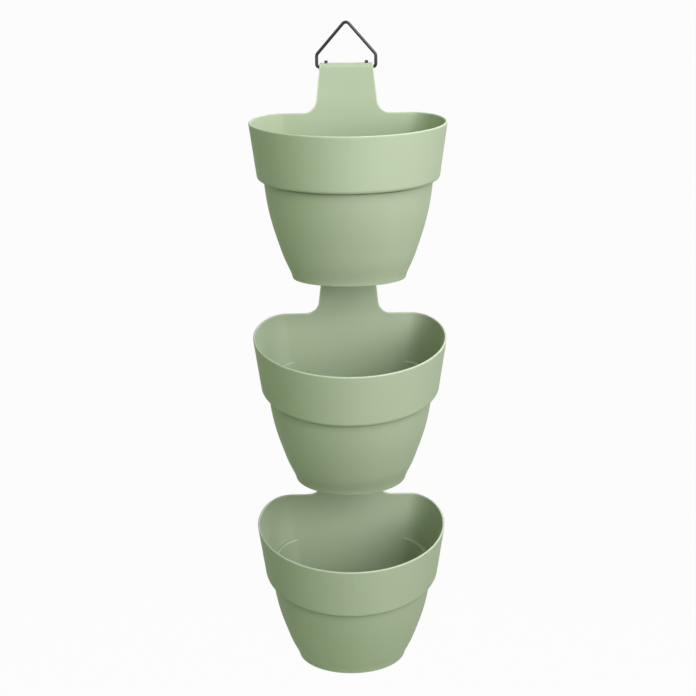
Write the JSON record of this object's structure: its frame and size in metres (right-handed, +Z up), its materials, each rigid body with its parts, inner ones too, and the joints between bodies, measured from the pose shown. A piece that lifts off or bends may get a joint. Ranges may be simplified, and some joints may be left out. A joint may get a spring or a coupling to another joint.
{
  "type": "hanging planter",
  "caption": "Vertical planter of half-round, flat-backed pots that hook one below another, hung from a bent-wire bail",
  "frame": {"origin": "inside of the wire hanger's peak, where the nail or hook carries the planter", "axes": "+X to the viewer's right, +Y towards what the planter hangs against, +Z up"},
  "size_m": [0.2396, 0.3004, 0.8331],
  "materials": {
    "pot_plastic": "matte, fine mould texture",
    "wire": "black coated"
  },
  "bodies": {
    "hanger": {"hanger_wire": "wire"},
    "upper_pot": {"upper_pot": "pot_plastic"},
    "middle_pot": {"middle_pot": "pot_plastic"},
    "lower_pot": {"lower_pot": "pot_plastic"}
  },
  "joints": [
    {"name": "upper_pot_swing", "type": "hinge", "parent": "hanger", "child": "upper_pot", "pos_m": [0, 0, -0.0531], "axis": [1, 0, 0], "range_deg": [-12, 12]},
    {"name": "middle_pot_swing", "type": "hinge", "parent": "upper_pot", "child": "middle_pot", "pos_m": [0, 0, -0.3102], "axis": [1, 0, 0], "range_deg": [-18, 2]},
    {"name": "lower_pot_swing", "type": "hinge", "parent": "middle_pot", "child": "lower_pot", "pos_m": [0, 0.03564, -0.56381], "axis": [1, 0, 0], "range_deg": [-11, 9]}
  ]
}
